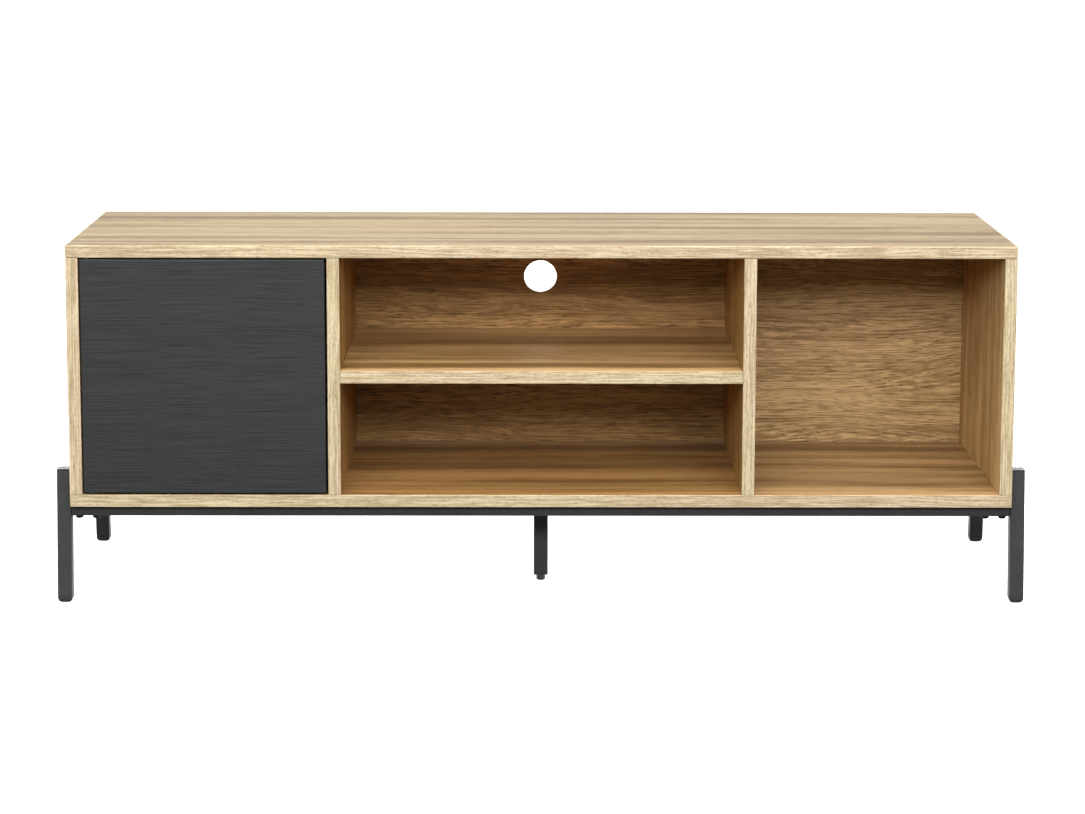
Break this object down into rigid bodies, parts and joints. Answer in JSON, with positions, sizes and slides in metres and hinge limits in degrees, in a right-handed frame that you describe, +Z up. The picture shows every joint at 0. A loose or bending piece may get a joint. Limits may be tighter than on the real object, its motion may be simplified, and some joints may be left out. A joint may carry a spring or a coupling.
{
  "type": "tv stand",
  "caption": "Low oak-decor TV stand on a splayed square-tube steel frame, with an inset charcoal door, a shelved open middle bay with a cable hole, and an open end bay.",
  "frame": {"origin": "on the floor under the middle of the stand", "axes": "+X to the right along the width, +Y to the back, +Z up; the front faces -Y"},
  "size_m": [1.4, 0.4, 0.522],
  "materials": {
    "oak_decor": "light oak decor board, satin, with fine pores and matching edge bands",
    "charcoal_foil": "fibreboard wrapped in matt charcoal foil, embossed with fine wood grain",
    "graphite_powder_coat": "satin graphite powder coat, fine texture",
    "black_steel": "black oxide steel, satin",
    "zinc_steel": "bright zinc plated steel",
    "black_plastic": "moulded black plastic, matt",
    "white_nylon": "natural white nylon"
  },
  "bodies": {
    "cabinet": {"back_panel": "oak_decor", "bottom_panel": "oak_decor", "centre_leg": "graphite_powder_coat", "centre_leg_plate": "graphite_powder_coat", "centre_leg_plug": "black_plastic", "front_left_cap": "black_plastic", "front_left_glide": "black_plastic", "front_left_inner_bolt": "black_steel", "front_left_insert": "zinc_steel", "front_left_leg": "graphite_powder_coat", "front_left_outer_bolt": "black_steel", "front_left_tongue": "black_steel", "front_rail": "graphite_powder_coat", "front_right_cap": "black_plastic", "front_right_glide": "black_plastic", "front_right_inner_bolt": "black_steel", "front_right_insert": "zinc_steel", "front_right_leg": "graphite_powder_coat", "front_right_outer_bolt": "black_steel", "front_right_tongue": "black_steel", "latch_housing": "black_plastic", "latch_screw_left": "zinc_steel", "latch_screw_right": "zinc_steel", "left_cross_bar": "graphite_powder_coat", "left_divider": "oak_decor", "left_side_panel": "oak_decor", "lower_pivot_bush": "black_plastic", "middle_shelf": "oak_decor", "plate_screw_left": "zinc_steel", "plate_screw_right": "zinc_steel", "rear_left_cap": "black_plastic", "rear_left_glide": "black_plastic", "rear_left_inner_bolt": "black_steel", "rear_left_insert": "zinc_steel", "rear_left_leg": "graphite_powder_coat", "rear_left_outer_bolt": "black_steel", "rear_left_tongue": "black_steel", "rear_rail": "graphite_powder_coat", "rear_right_cap": "black_plastic", "rear_right_glide": "black_plastic", "rear_right_inner_bolt": "black_steel", "rear_right_insert": "zinc_steel", "rear_right_leg": "graphite_powder_coat", "rear_right_outer_bolt": "black_steel", "rear_right_tongue": "black_steel", "right_cross_bar": "graphite_powder_coat", "right_divider": "oak_decor", "right_side_panel": "oak_decor", "top_panel": "oak_decor", "upper_pivot_bush": "black_plastic"},
    "door": {"door_panel": "charcoal_foil", "upper_pivot_pin": "zinc_steel", "lower_pivot_pin": "zinc_steel", "strike_plate": "zinc_steel", "strike_plate_screw": "zinc_steel"},
    "latch_rod": {"latch_plunger": "white_nylon", "latch_magnet": "black_steel"},
    "foot": {"levelling_foot": "black_plastic"}
  },
  "joints": [
    {"name": "door_hinge", "type": "hinge", "parent": "cabinet", "child": "door", "pos_m": [-0.6487, -0.194, 0.332], "axis": [0, 0, -1], "range_deg": [0, 105]},
    {"name": "latch_travel", "type": "slide", "parent": "cabinet", "child": "latch_rod", "axis": [0, -1, 0], "range_m": [0, 0.012]},
    {"name": "foot_height", "type": "slide", "parent": "cabinet", "child": "foot", "axis": [0, 0, -1], "range_m": [0, 0.012]}
  ],
  "couplings": [
    {"joint": "latch_travel", "follows": "door_hinge", "m_per_rad": 0.00654}
  ]
}
